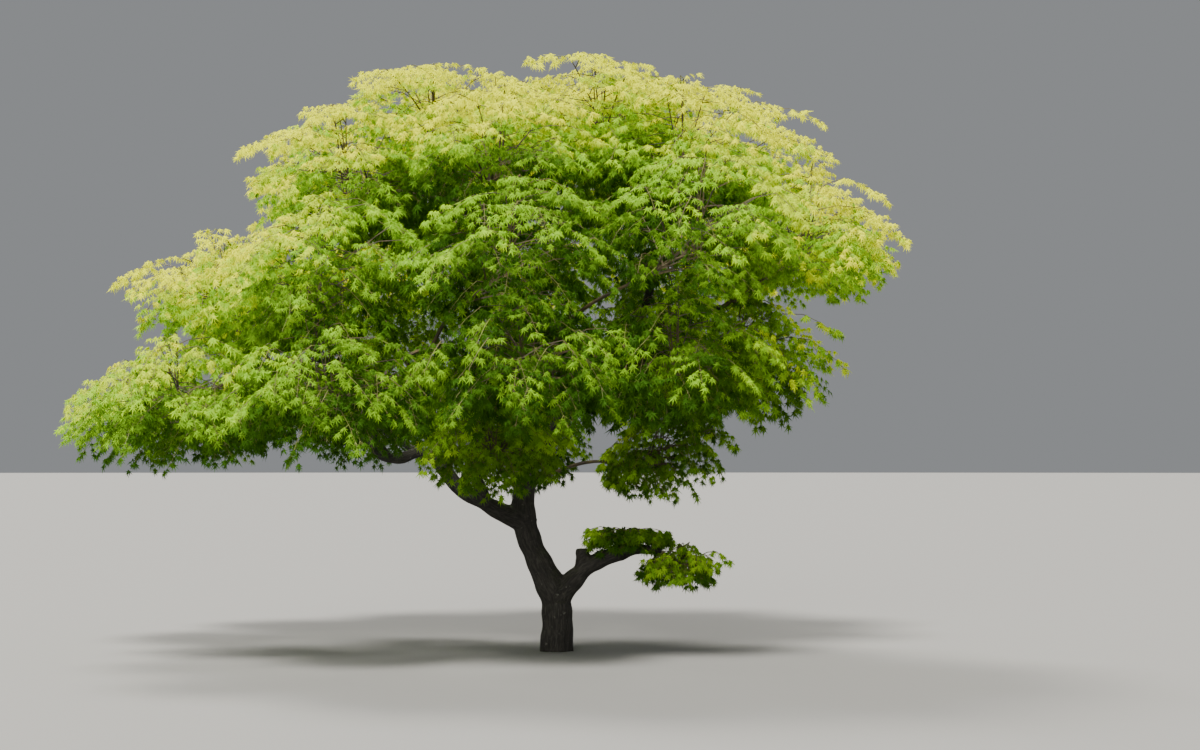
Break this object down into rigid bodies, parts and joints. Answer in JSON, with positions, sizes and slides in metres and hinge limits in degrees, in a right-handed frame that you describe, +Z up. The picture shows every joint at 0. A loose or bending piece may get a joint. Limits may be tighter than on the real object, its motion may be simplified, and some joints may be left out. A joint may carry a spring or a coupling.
{
  "type": "maple tree",
  "caption": "Spreading garden maple with a forked leaning trunk, winding boughs and a wide domed crown of layered, lobed leaves in spring green.",
  "frame": {"origin": "middle of the flat cut under the trunk, at ground level", "axes": "+Z up, +X along the crown's widest reach towards the low right limb, -Y towards the picture's camera"},
  "size_m": [8.0975, 7.1815, 5.5278],
  "materials": {
    "bark": "rough",
    "leaves_top": "matte",
    "leaves_upper": "matte",
    "leaves_shoulder": "matte",
    "leaves_skirt": "matte",
    "leaves_inner": "matte",
    "leaves_low": "matte"
  },
  "bodies": {
    "root": {"back_bough": "bark", "front_bough": "bark", "high_right_bough": "bark", "inner_foliage_1": "leaves_inner", "inner_foliage_2": "leaves_inner", "inner_foliage_3": "leaves_inner", "left_bough": "bark", "left_leader": "bark", "low_limb_foliage_1": "leaves_low", "low_limb_foliage_2": "leaves_low", "low_right_arm": "bark", "low_right_limb": "bark", "outer_limb_1": "bark", "outer_limb_10": "bark", "outer_limb_2": "bark", "outer_limb_3": "bark", "outer_limb_4": "bark", "outer_limb_5": "bark", "outer_limb_6": "bark", "outer_limb_7": "bark", "outer_limb_8": "bark", "outer_limb_9": "bark", "right_bough": "bark", "right_leader": "bark", "shoulder_foliage_1": "leaves_shoulder", "shoulder_foliage_10": "leaves_shoulder", "shoulder_foliage_2": "leaves_shoulder", "shoulder_foliage_3": "leaves_shoulder", "shoulder_foliage_4": "leaves_shoulder", "shoulder_foliage_5": "leaves_shoulder", "shoulder_foliage_6": "leaves_shoulder", "shoulder_foliage_7": "leaves_shoulder", "shoulder_foliage_8": "leaves_shoulder", "shoulder_foliage_9": "leaves_shoulder", "skirt_foliage_1": "leaves_skirt", "skirt_foliage_10": "leaves_skirt", "skirt_foliage_2": "leaves_skirt", "skirt_foliage_3": "leaves_skirt", "skirt_foliage_4": "leaves_skirt", "skirt_foliage_5": "leaves_skirt", "skirt_foliage_6": "leaves_skirt", "skirt_foliage_7": "leaves_skirt", "skirt_foliage_8": "leaves_skirt", "skirt_foliage_9": "leaves_skirt", "top_foliage_1": "leaves_top", "top_foliage_2": "leaves_top", "top_foliage_3": "leaves_top", "top_foliage_4": "leaves_top", "trunk": "bark", "upper_foliage_1": "leaves_upper", "upper_foliage_2": "leaves_upper", "upper_foliage_3": "leaves_upper", "upper_foliage_4": "leaves_upper", "upper_foliage_5": "leaves_upper", "upper_foliage_6": "leaves_upper", "upper_foliage_7": "leaves_upper", "upper_limb_1": "bark", "upper_limb_2": "bark", "upper_limb_3": "bark", "upper_limb_4": "bark"}
  },
  "joints": []
}
